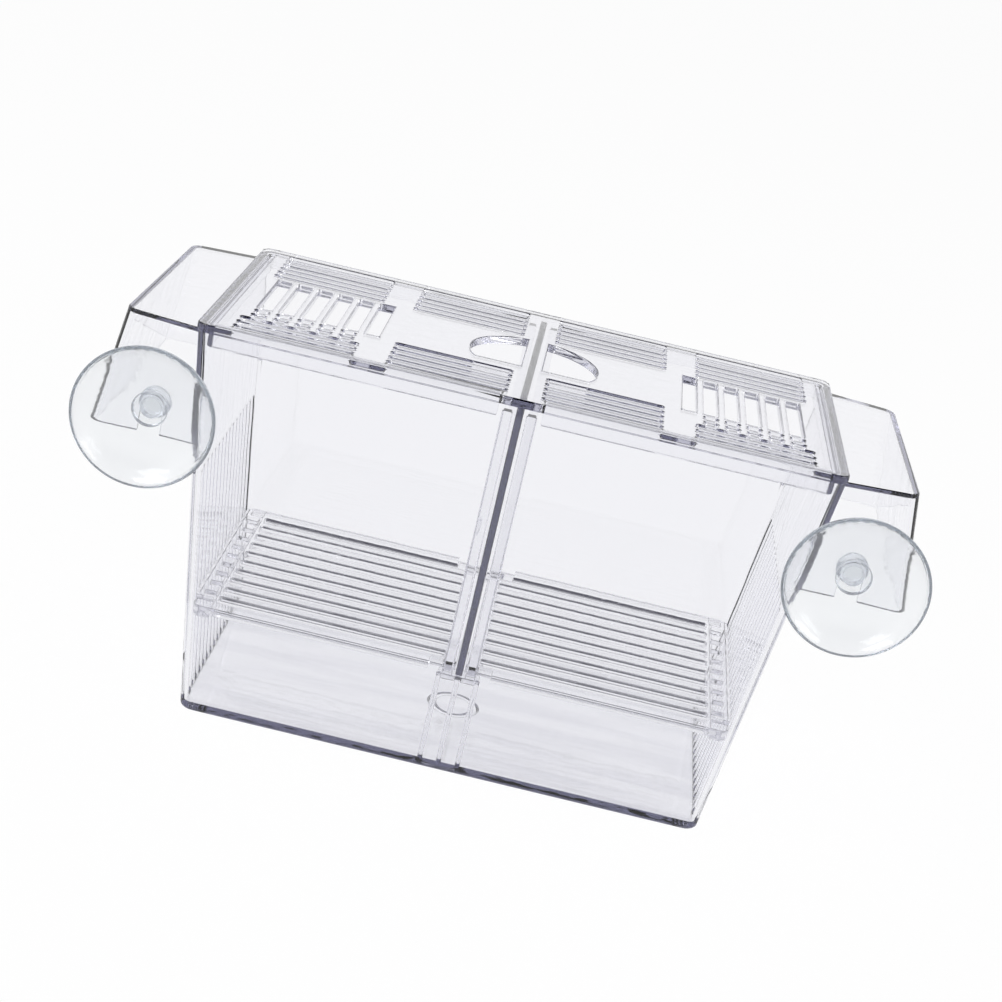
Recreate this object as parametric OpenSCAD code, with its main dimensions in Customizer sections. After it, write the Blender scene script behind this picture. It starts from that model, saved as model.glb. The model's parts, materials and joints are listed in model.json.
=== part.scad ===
/* [Tank] */
// Outside length of the tank at its rim
tank_l_top = 159.4; // [140:0.2:180]
// Outside length of the tank at its floor
tank_l_base = 137.4; // [126:0.2:139]
// Outside width of the tank at its rim
tank_w_top = 78.6; // [74:0.2:90]
// Outside width of the tank at its floor
tank_w_base = 72.8; // [68:0.2:74]
// Height of the tank from its foot to its rim
tank_h = 102; // [96:1:120]
// Thickness of the tank's side walls
wall_t = 1.6; // [1.2:0.1:2.4]
// Thickness of the tank's floor
floor_t = 2.2; // [1.6:0.1:3]
// Corner radius of the tank seen from above
corner_r = 3.2; // [2.6:0.1:5]
// Radius along the tank's bottom edge
base_edge_r = 1.2; // [0.8:0.1:2.4]

/* [Wall slots] */
// Number of slots in each end wall
wall_slots = 16; // [4:1:16]
// Spacing of the end wall slots
wall_slot_pitch = 4.2; // [3:0.1:4.2]
// Width of an end wall slot
wall_slot_w = 1.6; // [1:0.1:2]
// Height at which the end wall slots stop
wall_slot_top = 64; // [40:1:68]
// Strip of wall left between the floor and the slots
wall_slot_sill = 0.8; // [0.4:0.1:4]

/* [Ears] */
// Reach of an ear beyond the rim
ear_reach = 18.6; // [18:0.1:26]
// Extra reach of an ear at its open foot
ear_flare = 4.2; // [2:0.1:7]
// Height of an ear
ear_h = 29; // [26:0.5:32]
// Width of an ear where it joins the tank
ear_root_w = 75.4; // [70:0.2:76]
// Width of an ear's top at its outer end
ear_tip_w = 68.2; // [60:0.2:70]
// Width of an ear at its open foot
ear_foot_w = 76.4; // [72:0.2:76.4]
// Thickness of an ear's walls
ear_t = 1.4; // [1.2:0.1:2.2]
// Corner radius of an ear seen from above
ear_r = 3.4; // [2.6:0.1:5]

/* [Suction cups] */
// Distance of a cup's axis outward from the rim
cup_out = 7.7; // [7:0.1:10]
// Distance of a cup's axis below the rim
cup_drop = 21.8; // [18:0.2:23]
// Diameter of a cup's rim
cup_d = 35.6; // [28:0.2:37]
// Depth of a cup from the seat of its boss to its rim
cup_depth = 9.8; // [8:0.2:14]
// Width of the flat ring that meets the glass
cup_land = 0.5; // [0.4:0.1:1.2]
// Thickness of a cup's dish
cup_t = 1.7; // [1.2:0.1:2.2]
// Diameter of a cup's boss
cup_boss_d = 8.8; // [7:0.2:11]
// Length of a cup's boss
cup_boss_l = 2.4; // [1.6:0.1:3.4]
// Diameter of a cup's neck
cup_neck_d = 5.2; // [4:0.1:5.6]
// Length of a cup's neck
cup_neck_l = 4; // [3.7:0.1:5]
// Diameter of the button behind the neck
cup_button_d = 8.4; // [7:0.1:9]
// Length of the button behind the neck
cup_button_l = 3.6; // [3.2:0.1:5]

/* [Lid] */
// Length of the lid
lid_l = 160; // [160:0.2:181]
// Width of the lid
lid_w = 80.8; // [79:0.2:91]
// Thickness of the lid's plate
lid_t = 2.2; // [1.8:0.1:3]
// Corner radius of the lid
lid_r = 3; // [1:0.1:5]
// Depth of the skirt under the lid
skirt_h = 4; // [3:0.5:5]
// Thickness of the skirt
skirt_t = 1.4; // [1:0.1:2]
// Width of a long slot in the lid
lid_slot_w = 1.7; // [1:0.1:2]
// Spacing of the long slots
lid_slot_pitch = 3.95; // [3.6:0.05:4]
// Distance of the outermost slot from the lid's long edge
lid_slot_edge = 5.2; // [5:0.1:6]
// Number of slot rows along the front edge
lid_rows_front = 5; // [3:1:5]
// Number of slot rows along the back edge
lid_rows_back = 6; // [3:1:6]
// Distance of the outer slot ends from the lid's short edge
lid_slot_margin = 8.2; // [8:0.1:12]
// Half width of the plain strip along the middle of the lid
lid_mid_strip = 4.4; // [3.4:0.1:5]
// Outer end of the inner slots, from the lid's centre
lid_inner_end = 34; // [24:0.5:36]
// Number of wide cross slots at each end of the lid
cross_slots = 6; // [2:1:6]
// Spacing of the cross slots
cross_pitch = 5.5; // [5:0.1:5.5]
// Width of a cross slot
cross_slot_w = 3.6; // [2:0.1:3.8]
// Length of a cross slot
cross_slot_l = 28.4; // [16:0.2:28.4]

/* [Finger holes] */
// Radius of the finger holes' shared circle
finger_r = 16.5; // [14:0.5:17]
// Distance of that circle's centre in front of the lid's centre
finger_y = 4.9; // [3:0.1:5]
// Distance of the holes' straight side in front of the lid's centre
finger_flat_y = 12.4; // [10:0.1:13]
// Width of the bar between the finger holes
finger_bar_w = 5.6; // [4:0.1:8]

/* [Divider] */
// Thickness of the divider
divider_t = 1.8; // [1.4:0.1:2.4]
// Gap between the divider and the ribs on each side of it
divider_play = 1; // [0.3:0.1:1.2]
// Thickness of a guide rib
rib_w = 2.2; // [1.4:0.1:2.4]
// Depth of a guide rib
rib_d = 2.6; // [2:0.1:3.2]
// Distance of the guide ribs' tops below the rim
rib_top_gap = 2.2; // [1:0.1:4]
// Bevel at the divider's upper corners
divider_bevel = 2.4; // [1:0.1:4]

/* [Floor grids] */
// Height of the grids' top face above the tank's foot
grid_z = 29.8; // [24:0.2:40]
// Thickness of a grid
grid_t = 2.2; // [1.8:0.1:2.8]
// Number of slots in a grid
grid_slots = 10; // [4:1:10]
// Spacing of the slots in a grid
grid_pitch = 6.36; // [5:0.02:6.4]
// Width of a slot in a grid
grid_slot_w = 2.4; // [1.6:0.1:3]
// Width of a grid's bar beside the divider
grid_inner_bar = 3.4; // [2.6:0.1:5]
// Width of a grid's bar beside the end wall
grid_end_bar = 4.4; // [3.6:0.1:7]
// Web between that bar and the slot ends
grid_end_web = 1; // [0.6:0.1:2]
// Height of the notched lip on the end bar
grid_lip_h = 1.2; // [0.6:0.1:2]
// Depth of the end bar below the grid
grid_keel_h = 0.8; // [0.4:0.1:1.4]
// Clear width around the ribs at each end of a grid's inner bar
grid_notch_w = 16.2; // [14:0.2:20]
// Half width of the bracket that carries the grids and the divider
bracket_w = 5.4; // [5:0.1:6.4]
// Depth of that bracket
bracket_d = 5; // [4.4:0.1:7]
// Thickness of the bracket's shelf
bracket_t = 1.3; // [1:0.1:1.8]
// Thickness of the bracket's legs
leg_t = 0.9; // [0.7:0.1:1.6]
// Depth of the bracket's legs
leg_d = 2; // [1.4:0.1:4]

/* [Fits] */
// Gap at a seat or between a loose piece and what guides it
seat_gap = 0.3; // [0.2:0.05:0.5]
// Width of the play around a cup's neck in its notch
notch_play = 0.5; // [0.2:0.1:1]

/* [Hidden] */

clear_plastic = [0.86, 0.87, 0.95, 0.35];
soft_vinyl = [0.72, 0.83, 0.88, 0.5];

// Steps round a moulded corner and along the bottom edge
corner_steps = 6;
edge_steps = 4;
// Extra length of a cut past the face that it opens
past = 1;

// Outside half length and half width of the tank at a height
function half_l(z) = (tank_l_base + (tank_l_top - tank_l_base) * z / tank_h) / 2;
function half_w(z) = (tank_w_base + (tank_w_top - tank_w_base) * z / tank_h) / 2;
// The same for the inside faces
function room_l(z) = half_l(z) - wall_t;
function room_w(z) = half_w(z) - wall_t;

grid_foot = grid_z - grid_t;
keel_foot = grid_foot - grid_keel_h;
shelf_z = grid_foot - seat_gap;
grid_end = room_l(keel_foot) - seat_gap;
grid_side = room_w(grid_foot) - seat_gap;
// Outer face of a grid's end bar at a height, leaning like the end wall
function rail_x(z) = grid_end + half_l(z) - half_l(keel_foot);
grid_corner_r = corner_r - wall_t + 1;
rib_out = divider_t / 2 + divider_play + rib_w;
notch_d = cup_neck_d + notch_play;
cup_x = tank_l_top / 2 + cup_out;
cup_z = tank_h - cup_drop;
cup_seat_y = ear_foot_w / 2 + seat_gap;
cup_r = cup_d / 2;
lip_step = 1.5;

// Points of a rounded rectangle, from four corner centres
function rounded(corners, r) = [
    for (i = [0:3]) for (s = [0:corner_steps])
        let (a = 90 * i + 90 * s / corner_steps)
        [corners[i][0] + r * cos(a), corners[i][1] + r * sin(a)]
];
function oblong(l, w, r) = rounded([[l - r, w - r], [r - l, w - r], [r - l, r - w], [l - r, r - w]], r);
// Outline of an ear: sides that draw in towards rounded corners at the outer end
function ear_outline(root_x, tip_x, root_w, tip_w, r) =
    let (
        lean = atan((root_w - tip_w) / (tip_x - root_x)),
        corner_y = root_w - (tip_x - r - root_x) * tan(lean) - r / cos(lean),
        turn = (90 - lean) / corner_steps
    )
    concat(
        [[root_x, -root_w]],
        [for (s = [corner_steps:-1:0]) [tip_x - r + r * cos(turn * s), -corner_y - r * sin(turn * s)]],
        [for (s = [0:corner_steps]) [tip_x - r + r * cos(turn * s), corner_y + r * sin(turn * s)]],
        [[root_x, root_w]]
    );

// Solid through a stack of outlines, each one given as [height, points]
module loft(layers) {
    n = len(layers[0][1]);
    last = len(layers) - 1;
    points = [for (layer = layers) for (p = layer[1]) [p[0], p[1], layer[0]]];
    sides = [for (k = [0:last - 1]) for (i = [0:n - 1])
        let (j = (i + 1) % n)
        each [[k * n + i, k * n + n + i, k * n + n + j], [k * n + i, k * n + n + j, k * n + j]]];
    polyhedron(
        points = points,
        faces = concat([[for (i = [0:n - 1]) i]], sides, [[for (i = [n - 1:-1:0]) last * n + i]]),
        convexity = 4
    );
}

module tank_outside() {
    edge = [for (s = [0:edge_steps]) let (a = 90 * s / edge_steps)
        let (z = base_edge_r * (1 - cos(a)), inset = base_edge_r * (1 - sin(a)))
        [z, oblong(half_l(z) - inset, half_w(z) - inset, corner_r)]];
    loft(concat(edge, [[tank_h, oblong(half_l(tank_h), half_w(tank_h), corner_r)]]));
}

module tank_inside() {
    top = tank_h + past;
    r = corner_r - wall_t;
    loft([
        [floor_t, oblong(room_l(floor_t), room_w(floor_t), r)],
        [top, oblong(room_l(top), room_w(top), r)]
    ]);
}

// Right-hand ear: a pocket with its mouth at the bottom
module ear() {
    foot = tank_h - ear_h;
    root = room_l(foot);
    tip = tank_l_top / 2 + ear_reach;
    roof = tank_h - ear_t;
    slope = ear_flare / ear_h;
    widen = (ear_foot_w - ear_tip_w) / 2 / ear_h;
    deepen = (ear_foot_w - ear_root_w) / 2 / ear_h;
    difference() {
        loft([
            [foot, ear_outline(root, tip + ear_flare, ear_foot_w / 2, ear_foot_w / 2, ear_r)],
            [tank_h, ear_outline(root, tip, ear_root_w / 2, ear_tip_w / 2, ear_r)]
        ]);
        loft([
            [foot - past, ear_outline(
                root - past, tip + ear_flare + slope * past - ear_t,
                ear_foot_w / 2 + deepen * past - ear_t, ear_foot_w / 2 + widen * past - ear_t, ear_r - ear_t)],
            [roof, ear_outline(
                root - past, tip + slope * ear_t - ear_t,
                ear_root_w / 2 + deepen * ear_t - ear_t, ear_tip_w / 2 + widen * ear_t - ear_t, ear_r - ear_t)]
        ]);
        cup_notch();
    }
}

// Open-bottomed notch for a cup's neck in the front panel of an ear
module cup_notch() {
    depth = ear_foot_w / 2 - ear_tip_w / 2 + 2 * ear_t + 2 * past;
    drop = cup_z - (tank_h - ear_h) + past;
    translate([cup_x, -ear_foot_w / 2 - past, cup_z])
        rotate([-90, 0, 0])
            cylinder(d = notch_d, h = depth, $fn = 48);
    translate([cup_x - notch_d / 2, -ear_foot_w / 2 - past, cup_z - drop])
        cube([notch_d, depth, drop]);
}

// Slots through both end walls, below the ears
module wall_slot_cuts() {
    first = -(wall_slots - 1) / 2 * wall_slot_pitch;
    low = floor_t + wall_slot_sill;
    inner = room_l(0) - past;
    for (side = [-1, 1]) for (i = [0:wall_slots - 1])
        translate([side > 0 ? inner : -inner - tank_l_top / 2, first + i * wall_slot_pitch - wall_slot_w / 2, low])
            cube([tank_l_top / 2, wall_slot_w, wall_slot_top - low]);
}

// Upright standing on the front wall between two heights, from x0 to x1
module wall_upright(x0, x1, z0, z1, depth) {
    translate([x0, 0, 0])
        rotate([90, 0, 90])
            linear_extrude(x1 - x0)
                polygon([
                    [-room_w(z0) - wall_t / 2, z0],
                    [-room_w(z0) + depth, z0],
                    [-room_w(z1) + depth, z1],
                    [-room_w(z1) - wall_t / 2, z1]
                ]);
}

// Guide channel for the divider, on the front wall
module guide_ribs() {
    for (side = [-1, 1]) {
        x = side * (rib_out - rib_w / 2);
        wall_upright(x - rib_w / 2, x + rib_w / 2, shelf_z - bracket_t, tank_h - rib_top_gap, rib_d);
    }
}

// Shelf on three legs, on the front wall under the guide channel
module seat_bracket() {
    wall_upright(-bracket_w, bracket_w, shelf_z - bracket_t, shelf_z, bracket_d);
    for (x = [-bracket_w, -leg_t / 2, bracket_w - leg_t])
        wall_upright(x, x + leg_t, floor_t / 2, shelf_z - bracket_t / 2, leg_d);
}

// Shallow round groove in the underside, about the point where the floor was filled
module floor_ring() {
    ring_r = 6.1;
    ring_depth = 0.5;
    groove_r = 1.4;
    translate([0, 0, ring_depth - groove_r])
        rotate_extrude($fn = 64)
            translate([ring_r, 0])
                circle(r = groove_r, $fn = 24);
}

module outer_box() {
    color(clear_plastic)
        difference() {
            union() {
                difference() {
                    union() {
                        tank_outside();
                        ear();
                        mirror([1, 0, 0]) ear();
                    }
                    tank_inside();
                }
                for (turn = [0, 180])
                    rotate([0, 0, turn]) {
                        guide_ribs();
                        seat_bracket();
                    }
            }
            wall_slot_cuts();
            floor_ring();
        }
}

// Long slot with round ends, from x0 to x1
module long_slot(x0, x1, y) {
    r = lid_slot_w / 2;
    translate([x0 + r, y - r])
        square([x1 - x0 - 2 * r, lid_slot_w]);
    for (x = [x0 + r, x1 - r])
        translate([x, y])
            circle(r = r, $fn = 24);
}

// Slots of the right half of the lid
module lid_slot_pattern() {
    outer_end = lid_l / 2 - lid_slot_margin;
    edge_y = lid_w / 2 - lid_slot_edge;
    cross_first = outer_end - (cross_slots - 0.5) * cross_pitch - (cross_pitch - cross_slot_w) / 2;
    outer_start = cross_first + cross_slot_w / 2;
    short_rows = 2;
    for (i = [0:lid_rows_front - 1]) {
        y = i * lid_slot_pitch - edge_y;
        long_slot(lid_mid_strip, lid_inner_end, y);
        if (i < lid_rows_front - short_rows)
            long_slot(outer_start, outer_end, y);
        else
            for (k = [1:cross_slots - 1])
                long_slot(
                    cross_first + k * cross_pitch - cross_slot_w / 2,
                    cross_first + k * cross_pitch + cross_slot_w / 2,
                    y
                );
    }
    for (i = [0:lid_rows_back - 1]) {
        y = edge_y - i * lid_slot_pitch;
        long_slot(lid_mid_strip, lid_inner_end, y);
        long_slot(outer_start, outer_end, y);
    }
    cross_y = (lid_rows_front - 1) * lid_slot_pitch - edge_y + lid_slot_w / 2 + lid_slot_pitch - lid_slot_w;
    for (k = [0:cross_slots - 1])
        translate([cross_first + k * cross_pitch - cross_slot_w / 2, cross_y])
            square([cross_slot_w, cross_slot_l]);
}

// Right-hand finger hole: part of a circle with two straight sides
module finger_hole() {
    intersection() {
        translate([0, -finger_y])
            circle(r = finger_r, $fn = 96);
        translate([finger_bar_w / 2, -finger_flat_y])
            square([finger_r, 2 * finger_r]);
    }
}

// Rounded rectangle in the plane, made of two bars and four discs
module rounded_plate(l, w, r) {
    square([l - 2 * r, w], center = true);
    square([l, w - 2 * r], center = true);
    for (x = [-1, 1]) for (y = [-1, 1])
        translate([x * (l / 2 - r), y * (w / 2 - r)])
            circle(r = r, $fn = 32);
}

module lid_skirt() {
    foot = tank_h - skirt_h;
    l = 2 * (room_l(foot) - seat_gap);
    w = 2 * (room_w(foot) - seat_gap);
    r = corner_r - wall_t;
    translate([0, 0, foot])
        linear_extrude(skirt_h + lid_t / 2)
            difference() {
                rounded_plate(l, w, r);
                square([l - 2 * skirt_t, w - 2 * skirt_t], center = true);
                square([2 * bracket_w, w + past], center = true);
            }
}

module lid() {
    color(clear_plastic) {
        translate([0, 0, tank_h])
            linear_extrude(lid_t)
                difference() {
                    rounded_plate(lid_l, lid_w, lid_r);
                    lid_slot_pattern();
                    mirror([1, 0]) lid_slot_pattern();
                    finger_hole();
                    mirror([1, 0]) finger_hole();
                }
        lid_skirt();
    }
}

// Upright plate whose edges follow the tank's leaning walls
module divider() {
    top = tank_h - seat_gap;
    low_w = room_w(grid_foot) - seat_gap;
    high_w = room_w(top) - seat_gap;
    color(clear_plastic)
        translate([-divider_t / 2, 0, 0])
            rotate([90, 0, 90])
                linear_extrude(divider_t)
                    polygon([
                        [-low_w, grid_foot], [low_w, grid_foot],
                        [high_w, top - divider_bevel], [high_w - divider_bevel, top],
                        [divider_bevel - high_w, top], [-high_w, top - divider_bevel]
                    ]);
}

// Right-hand grid, seen from above
module grid_outline() {
    inner = divider_t / 2 + seat_gap;
    rib_clear = room_w(grid_foot) - rib_d - seat_gap;
    difference() {
        translate([inner, -grid_side])
            square([grid_end - inner, 2 * grid_side]);
        for (side = [-1, 1])
            translate([0, side * (rib_clear + rib_d)])
                square([grid_notch_w, 2 * rib_d], center = true);
    }
}

module grid_slot_cuts(outer, z, h) {
    start = divider_t / 2 + seat_gap + grid_inner_bar;
    first = -(grid_slots - 1) / 2 * grid_pitch;
    for (i = [0:grid_slots - 1])
        translate([start, first + i * grid_pitch - grid_slot_w / 2, z])
            cube([outer - start, grid_slot_w, h]);
}

// Part of the end bar between two heights, as long as twice the half length
module grid_rail(z0, z1, half_length) {
    rotate([90, 0, 0])
        translate([0, 0, -half_length])
            linear_extrude(2 * half_length)
                polygon([
                    [grid_end - grid_end_bar, z0], [rail_x(z0), z0],
                    [rail_x(z1), z1], [grid_end - grid_end_bar, z1]
                ]);
}

// End bar: a keel under the grid and a notched lip above it, which stops at the outermost slots
module grid_end_rail() {
    lip_side = ((grid_slots - 1) * grid_pitch + grid_slot_w) / 2 + lip_step;
    grid_rail(keel_foot, grid_z, grid_side);
    grid_rail(grid_z, grid_z + grid_lip_h, lip_side);
}

// Upright block with the tank's rounded corners, which trims the grid's outer end
module grid_trim() {
    translate([0, 0, keel_foot - past])
        linear_extrude(grid_z - keel_foot + grid_lip_h + 2 * past)
            rounded_plate(2 * rail_x(grid_z + grid_lip_h), 2 * grid_side, grid_corner_r);
}

module grid() {
    rail_in = grid_end - grid_end_bar - grid_end_web;
    difference() {
        intersection() {
            union() {
                translate([0, 0, grid_foot])
                    linear_extrude(grid_t)
                        grid_outline();
                grid_end_rail();
            }
            grid_trim();
        }
        grid_slot_cuts(rail_in, grid_foot - past, grid_t + 2 * past);
        grid_slot_cuts(grid_end - lip_step, grid_z, grid_lip_h + past);
    }
}

module left_grid() {
    color(clear_plastic)
        mirror([1, 0, 0]) grid();
}

module right_grid() {
    color(clear_plastic)
        grid();
}

// Half section of a cup: radius against distance from the seat towards the glass
module cup_profile() {
    boss_r = cup_boss_d / 2;
    neck_r = cup_neck_d / 2;
    button_r = cup_button_d / 2;
    back = -cup_neck_l - cup_button_l;
    reach = cup_r - boss_r;
    fall = cup_depth - cup_boss_l;
    hollow_r = cup_r - cup_land;
    hollow_top = cup_boss_l + cup_t;
    steps = 8;
    outer = [for (s = [0:steps]) let (a = 90 * s / steps)
        [boss_r + reach * sin(a), cup_boss_l + (fall - cup_land) * (1 - cos(a))]];
    inner = [for (s = [steps:-1:0]) let (a = 90 * s / steps)
        [hollow_r * sin(a), hollow_top + (cup_depth - hollow_top) * (1 - cos(a))]];
    polygon(concat(
        [[0, back], [button_r * 0.6, back], [button_r, back + cup_button_l * 0.45],
         [button_r, -cup_neck_l - 0.6], [button_r - 0.6, -cup_neck_l], [neck_r, -cup_neck_l],
         [neck_r, 0], [boss_r, 0]],
        outer,
        [[cup_r, cup_depth]],
        inner
    ));
}

module cup(x) {
    color(soft_vinyl)
        translate([x, -cup_seat_y, cup_z])
            rotate([90, 0, 0])
                rotate_extrude($fn = 96)
                    cup_profile();
}

module left_cup() {
    cup(-cup_x);
}

module right_cup() {
    cup(cup_x);
}

outer_box();
lid();
divider();
left_grid();
right_grid();
left_cup();
right_cup();
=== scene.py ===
"""Looks of a clear two-room fish breeding box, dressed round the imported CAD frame."""
import json
import math

import bmesh
import bpy
from mathutils import Matrix, Vector


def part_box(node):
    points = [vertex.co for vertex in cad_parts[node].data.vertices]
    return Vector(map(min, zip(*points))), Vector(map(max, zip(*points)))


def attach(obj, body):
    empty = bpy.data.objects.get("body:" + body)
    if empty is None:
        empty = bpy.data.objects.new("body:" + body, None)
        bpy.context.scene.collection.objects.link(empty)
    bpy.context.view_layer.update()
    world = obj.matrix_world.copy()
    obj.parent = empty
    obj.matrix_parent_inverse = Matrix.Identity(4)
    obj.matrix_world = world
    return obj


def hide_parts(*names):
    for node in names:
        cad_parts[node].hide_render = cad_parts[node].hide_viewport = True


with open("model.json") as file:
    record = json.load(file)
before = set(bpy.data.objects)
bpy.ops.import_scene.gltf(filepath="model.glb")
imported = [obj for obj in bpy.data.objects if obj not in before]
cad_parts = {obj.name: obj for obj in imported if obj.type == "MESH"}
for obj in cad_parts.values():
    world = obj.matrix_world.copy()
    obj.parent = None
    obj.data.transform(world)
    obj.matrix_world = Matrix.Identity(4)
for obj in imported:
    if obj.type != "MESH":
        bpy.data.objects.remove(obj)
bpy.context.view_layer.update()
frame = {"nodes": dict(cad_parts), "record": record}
NODES = frame["nodes"]

# Light guided inside the thin clear walls needs many bounces before it gets out
BOUNCES = 40
scene = bpy.context.scene
scene.view_settings.view_transform = "Standard"
scene.cycles.max_bounces = BOUNCES
scene.cycles.transmission_bounces = BOUNCES
scene.cycles.glossy_bounces = 12


# Node helpers
def new_material(name):
    """Empty node material with its output node."""
    material = bpy.data.materials.new(name)
    material.use_nodes = True
    tree = material.node_tree
    tree.nodes.clear()
    return material, tree, tree.nodes.new("ShaderNodeOutputMaterial")


def add(tree, kind, inputs=None, **settings):
    """New node with its settings and inputs; an input is a value or another node's output."""
    node = tree.nodes.new(kind)
    for key, value in settings.items():
        setattr(node, key, value)
    for key, value in (inputs or {}).items():
        if isinstance(value, bpy.types.NodeSocket):
            tree.links.new(value, node.inputs[key])
        else:
            node.inputs[key].default_value = value
    return node


def ramp(tree, factor, low, high, from_min, from_max):
    """Factor mapped from one range to another, clamped, with a soft start and end."""
    node = add(tree, "ShaderNodeMapRange", {
        "Value": factor, "From Min": from_min, "From Max": from_max, "To Min": low, "To Max": high},
        interpolation_type="SMOOTHSTEP")
    return node.outputs["Result"]


def maths(tree, operation, first, second):
    """One arithmetic step on two values or outputs."""
    return add(tree, "ShaderNodeMath", {0: first, 1: second}, operation=operation).outputs[0]


def blend_colours(tree, share, first, second):
    """First colour where the share is 0, second colour where it is 1."""
    return add(tree, "ShaderNodeMix", {0: share, 6: first, 7: second}, data_type="RGBA").outputs[2]


def blend_shaders(tree, share, first, second):
    """First shader where the share is 0, second shader where it is 1."""
    mix = add(tree, "ShaderNodeMixShader", {0: share})
    tree.links.new(first, mix.inputs[1])
    tree.links.new(second, mix.inputs[2])
    return mix.outputs["Shader"]


def noise(tree, scale, detail, stretch):
    """Noise in the part's own metres, stretched along an axis where its factor is small."""
    place = add(tree, "ShaderNodeTexCoord").outputs["Object"]
    mapped = add(tree, "ShaderNodeMapping", {"Vector": place, "Scale": stretch})
    node = add(tree, "ShaderNodeTexNoise", {
        "Vector": mapped.outputs["Vector"], "Scale": scale, "Detail": detail})
    return node.outputs["Fac"]


# Clear plastics
NAVY = (0.235, 0.235, 0.41, 1)
SEA_GREY = (0.4, 0.47, 0.54, 1)
# Grey of the painted shade and painted reflection of the grid on the box's floor
PAINTED_SHADE_AND_REFLECTION_TINT = (0.84, 0.84, 0.87, 1)
SHADOW_TINT = (0.945, 0.95, 0.965, 1)
# Heights at which the painted shade and painted reflection on the box's floor are full and end
PAINTED_SHADE_FULL_TO = 0.0026
PAINTED_SHADE_END = 0.004


def with_painted_floor_shade(tree, tint):
    """The tint, greyer towards the box's floor as painted shade, and greyer still in soft streaks along it
    as a painted reflection of the grid.
    """
    place = add(tree, "ShaderNodeTexCoord").outputs["Object"]
    height = add(tree, "ShaderNodeSeparateXYZ", {"Vector": place}).outputs["Z"]
    painted_shade_near_floor = ramp(tree, height, 1.0, 0.0, PAINTED_SHADE_FULL_TO, PAINTED_SHADE_END)
    painted_reflection_streaks = ramp(tree, noise(tree, 140.0, 3.0, (0.12, 1, 1)), 0.35, 1.0, 0.4, 0.65)
    return blend_colours(tree, maths(tree, "MULTIPLY", painted_shade_near_floor, painted_reflection_streaks), tint, PAINTED_SHADE_AND_REFLECTION_TINT)


def mould_waves(tree):
    """Slight unevenness of the surface, left by the mould."""
    waves = noise(tree, 90.0, 2.0, (1, 1, 0.4))
    bump = add(tree, "ShaderNodeBump", {"Height": waves, "Strength": 0.05, "Distance": 0.001})
    return bump.outputs["Normal"]


def clear_plastic(name, tint, absorb, density, haze, ior=1.5, clarity=1.0):
    """Clear plastic with mould waves and scuffs, a light shadow, and a tint that builds up along it."""
    material, tree, out = new_material(name)
    scuffs = noise(tree, 1400.0, 4.0, (1, 0.25, 1))
    plastic = add(tree, "ShaderNodeBsdfPrincipled", {
        # Base colour with painted shade and a painted reflection of the grid near the box's floor
        "Base Color": with_painted_floor_shade(tree, tint),
        "Roughness": ramp(tree, scuffs, haze * 0.5, haze * 1.8, 0.35, 0.8),
        "IOR": ior,
        "Transmission Weight": clarity,
        "Normal": mould_waves(tree),
    })
    passes = add(tree, "ShaderNodeBsdfTransparent", {"Color": SHADOW_TINT})
    shadow_ray = add(tree, "ShaderNodeLightPath").outputs["Is Shadow Ray"]
    surface = blend_shaders(tree, shadow_ray, plastic.outputs["BSDF"], passes.outputs["BSDF"])
    volume = add(tree, "ShaderNodeVolumeAbsorption", {"Color": absorb, "Density": density})
    tree.links.new(surface, out.inputs["Surface"])
    tree.links.new(volume.outputs["Volume"], out.inputs["Volume"])
    return material


MATERIALS = {
    "clear_box": clear_plastic(
        "clear_moulded_plastic", tint=(0.987, 0.988, 0.997, 1), absorb=NAVY, density=34.0, haze=0.012),
    "clear_divider": clear_plastic(
        "clear_divider_sheet", tint=(0.985, 0.986, 0.997, 1), absorb=NAVY, density=46.0, haze=0.01),
    "clear_grid": clear_plastic(
        "clear_grid_plastic", tint=(0.993, 0.994, 1.0, 1), absorb=NAVY, density=7.0, haze=0.01),
    "soft_vinyl": clear_plastic(
        "soft_clear_vinyl", tint=(0.958, 0.966, 0.976, 1), absorb=SEA_GREY, density=50.0, haze=0.11,
        ior=1.45, clarity=0.93),
}
MATERIALS["clear_lid"] = MATERIALS["clear_box"]

# Sizes of the rounds that a mould leaves, in metres
EDGE_ROUNDS = {
    "clear_box": 0.0003,
    "clear_lid": 0.00045,
    "clear_divider": 0.0003,
    "clear_grid": 0.0002,
    "soft_vinyl": 0.0002,
}
BAR_ROUNDS = {"clear_grid": 0.0008}
SHARP = math.radians(25)
FLAT = math.radians(1)
WELD = 0.00004
SLIVER = 0.00001


# Moulded pieces
def sharp_edges(shell):
    """Edges of a mesh whose faces meet at a clear angle."""
    return [edge for edge in shell.edges if edge.is_manifold and edge.calc_face_angle() > SHARP]


def bar_fronts(shell, high):
    """Where each bar of a slotted plate has its upper front edge: a list of y, z, first x and last x."""
    margin = 0.002
    shortest = 0.005
    facing = 0.9
    fronts = []
    for edge in sharp_edges(shell):
        first, last = sorted((vertex.co for vertex in edge.verts), key=lambda place: place.x)
        normals = [face.normal for face in edge.link_faces]
        inside = abs(first.y) < high.y - margin
        top = max(normal.z for normal in normals) > facing
        front = min(normal.y for normal in normals) < -facing
        if inside and top and front and last.x - first.x > shortest:
            fronts.append((first.y, first.z, first.x, last.x))
    return fronts


def cove_outline(y, z, radius):
    """Outline of a rod round an edge at y, z: a hollow quarter circle with some spare outside the bar."""
    steps = 8
    spare = radius / 3
    turns = [math.pi / 2 * i / steps for i in range(steps + 1)]
    hollow = [(y + radius * (1 - math.sin(turn)), z - radius * (1 - math.cos(turn))) for turn in turns]
    return hollow + [(y - spare, z - radius), (y - spare, z + spare), (y + radius, z + spare)]


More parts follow.
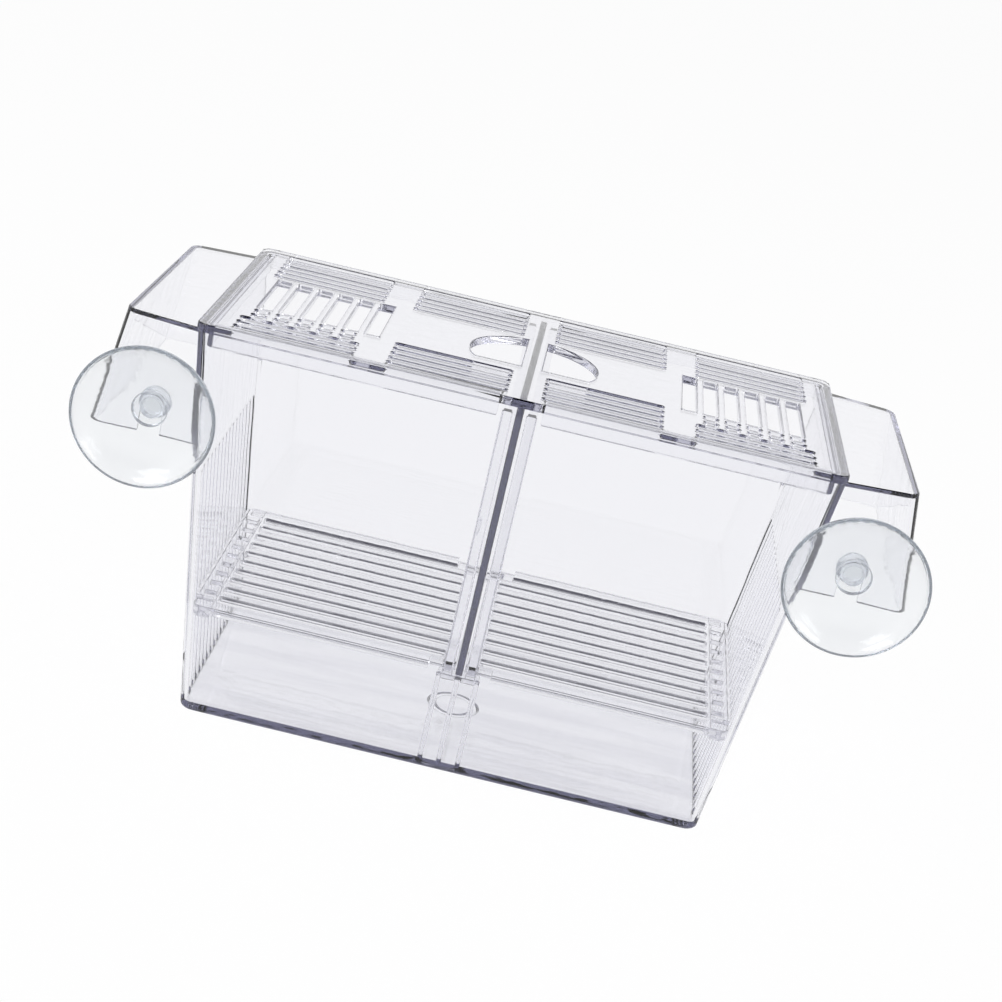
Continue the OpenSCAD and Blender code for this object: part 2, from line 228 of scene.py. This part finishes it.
def cove_cutter(fronts, radius):
    """Rods that leave a round of one radius where they are taken from the bars' front edges."""
    end_gap = 0.0002
    rods = bmesh.new()
    for y, z, x0, x1 in fronts:
        outline = cove_outline(y, z, radius)
        ends = [[rods.verts.new((x, *place)) for place in outline] for x in (x0 + end_gap, x1 - end_gap)]
        rods.faces.new(ends[0])
        rods.faces.new(ends[1][::-1])
        for i in range(len(outline)):
            j = (i + 1) % len(outline)
            rods.faces.new((ends[0][j], ends[0][i], ends[1][i], ends[1][j]))
    bmesh.ops.recalc_face_normals(rods, faces=rods.faces)
    return object_from(rods, "cove_cutter")


def object_from(shell, name):
    """New object in the scene that takes over a mesh under construction."""
    mesh = bpy.data.meshes.new(name)
    shell.to_mesh(mesh)
    shell.free()
    piece = bpy.data.objects.new(name, mesh)
    scene.collection.objects.link(piece)
    return piece


def cut(piece, cutter):
    """Takes the cutter out of the piece's mesh and removes the cutter."""
    difference = piece.modifiers.new("difference", "BOOLEAN")
    difference.operation = "DIFFERENCE"
    difference.solver = "EXACT"
    difference.object = cutter
    view = bpy.context.evaluated_depsgraph_get()
    piece.data = bpy.data.meshes.new_from_object(piece.evaluated_get(view))
    piece.modifiers.remove(difference)
    bpy.data.objects.remove(cutter)


def smooth_rounds(piece):
    """Smooth shading that keeps the flat faces flat and turns only in the rounds."""
    piece.data.polygons.foreach_set("use_smooth", [True] * len(piece.data.polygons))
    flat_faces = piece.modifiers.new("flat_faces", "WEIGHTED_NORMAL")
    flat_faces.weight = 90
    flat_faces.keep_sharp = True


def moulded(node, slot):
    """Stand-in for a CAD node with its sharp edges rounded, and its bars' upper front edges rounded more."""
    shell = bmesh.new()
    shell.from_mesh(NODES[node].data)
    bmesh.ops.remove_doubles(shell, verts=shell.verts, dist=WELD)
    bmesh.ops.dissolve_degenerate(shell, edges=shell.edges, dist=SLIVER)
    bmesh.ops.dissolve_limit(shell, angle_limit=FLAT, verts=shell.verts, edges=shell.edges)
    shell.normal_update()
    fronts = bar_fronts(shell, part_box(node)[1])
    bmesh.ops.bevel(
        shell, geom=sharp_edges(shell), offset=EDGE_ROUNDS[slot], offset_type="OFFSET", segments=3,
        profile=0.5, affect="EDGES", clamp_overlap=False, miter_outer="SHARP", miter_inner="SHARP")
    piece = object_from(shell, node + "_moulded")
    piece.data.materials.append(MATERIALS[slot])
    if slot in BAR_ROUNDS:
        cut(piece, cove_cutter(fronts, BAR_ROUNDS[slot]))
    smooth_rounds(piece)
    return piece


def lift_off_rim(piece):
    """Raises the underside of the lid's plate a hair, so that it doesn't share a plane with the rim."""
    gap = 0.00004
    rim_above_divider = 0.0003
    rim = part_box("divider")[1][2] + rim_above_divider
    for vertex in piece.data.vertices:
        if abs(vertex.co.z - rim) < gap:
            vertex.co.z = rim + gap


def dress():
    """A moulded stand-in for each CAD node."""
    slots = {row["node"]: row["material_slot"] for row in frame["record"]["subparts"]}
    bodies = {node: body for body, nodes in frame["record"]["behaviour"]["bodies"].items() for node in nodes}
    for node, slot in slots.items():
        piece = moulded(node, slot)
        if node == "lid":
            lift_off_rim(piece)
        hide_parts(node)
        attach(piece, bodies[node])


dress()


# Studio
WHITE = (1, 1, 1, 1)
OVERHEAD = (0.02, 0.018, 0.045, 1)


def make_floor():
    """Pale floor that keeps a faint shadow and looks white to the camera and through the plastic."""
    below_part = 0.0004
    bpy.ops.mesh.primitive_plane_add(size=12, location=(0, 0, -below_part))
    floor = bpy.context.object
    floor.name = "floor"
    material, tree, out = new_material("pale_floor")
    path = add(tree, "ShaderNodeLightPath")
    seen = maths(tree, "MAXIMUM", path.outputs["Is Camera Ray"], path.outputs["Is Glossy Ray"])
    seen = maths(tree, "MAXIMUM", seen, path.outputs["Is Transmission Ray"])
    matt = add(tree, "ShaderNodeBsdfDiffuse", {"Color": (0.93, 0.93, 0.93, 1)})
    glow = add(tree, "ShaderNodeEmission", {"Color": WHITE, "Strength": 1.0})
    surface = blend_shaders(
        tree, maths(tree, "MULTIPLY", seen, 0.95), matt.outputs["BSDF"], glow.outputs["Emission"])
    tree.links.new(surface, out.inputs["Surface"])
    floor.data.materials.append(material)


def make_world():
    """White low down, behind and at the sides, lilac dark overhead, and all white to the camera."""
    world = bpy.data.worlds.new("studio")
    scene.world = world
    world.use_nodes = True
    tree = world.node_tree
    tree.nodes.clear()
    out = tree.nodes.new("ShaderNodeOutputWorld")
    direction = add(tree, "ShaderNodeTexCoord").outputs["Generated"]
    axes = add(tree, "ShaderNodeSeparateXYZ", {"Vector": direction}).outputs
    behind = ramp(tree, axes["Y"], 0.0, 1.0, -0.3, 0.35)
    back_wall = ramp(tree, axes["Z"], 1.0, 0.0, 0.4, 0.6)
    camera_wall = ramp(tree, axes["Z"], 1.0, 0.0, 0.16, 0.36)
    walls = add(tree, "ShaderNodeMix", {0: behind, 2: camera_wall, 3: back_wall}, data_type="FLOAT")
    sides = ramp(tree, maths(tree, "MULTIPLY", axes["X"], axes["X"]), 0.0, 1.0, 0.2, 0.45)
    camera_ray = add(tree, "ShaderNodeLightPath").outputs["Is Camera Ray"]
    share = maths(tree, "MAXIMUM", walls.outputs[0], camera_ray)
    share = maths(tree, "MAXIMUM", share, sides)
    sky = add(tree, "ShaderNodeBackground", {
        "Color": blend_colours(tree, share, OVERHEAD, WHITE), "Strength": 1.0})
    tree.links.new(sky.outputs["Background"], out.inputs["Surface"])


def soft_light(name, location, size, watts):
    """Square soft light that faces the part."""
    data = bpy.data.lights.new(name, "AREA")
    data.shape = "SQUARE"
    data.size = size
    data.energy = watts
    lamp = bpy.data.objects.new(name, data)
    lamp.location = location
    part_middle = Vector((0, 0, 0.05))
    lamp.rotation_euler = (part_middle - lamp.location).to_track_quat("-Z", "Y").to_euler()
    scene.collection.objects.link(lamp)


def make_camera():
    """Camera solved from the photograph: place, lens and roll."""
    right = Vector((0.97249557, 0.0912264, 0.21431313))
    down = Vector((0.23272553, -0.34284356, -0.9101083))
    forward = Vector((-0.00955003, 0.93495243, -0.35464456))
    place = Vector((0.00497, -0.48723, 0.24752))
    data = bpy.data.cameras.new("camera")
    data.sensor_width = 36.0
    data.lens = 70.95
    data.clip_start = 0.01
    camera = bpy.data.objects.new("camera", data)
    turn = Matrix((right, -down, -forward)).transposed().to_4x4()
    camera.matrix_world = Matrix.Translation(place) @ turn
    scene.collection.objects.link(camera)
    scene.camera = camera


make_floor()
make_world()
soft_light("key_light", (-0.7, -0.5, 1.1), size=0.7, watts=9.0)
soft_light("fill_light", (0.9, -0.3, 0.8), size=0.6, watts=4.0)
make_camera()
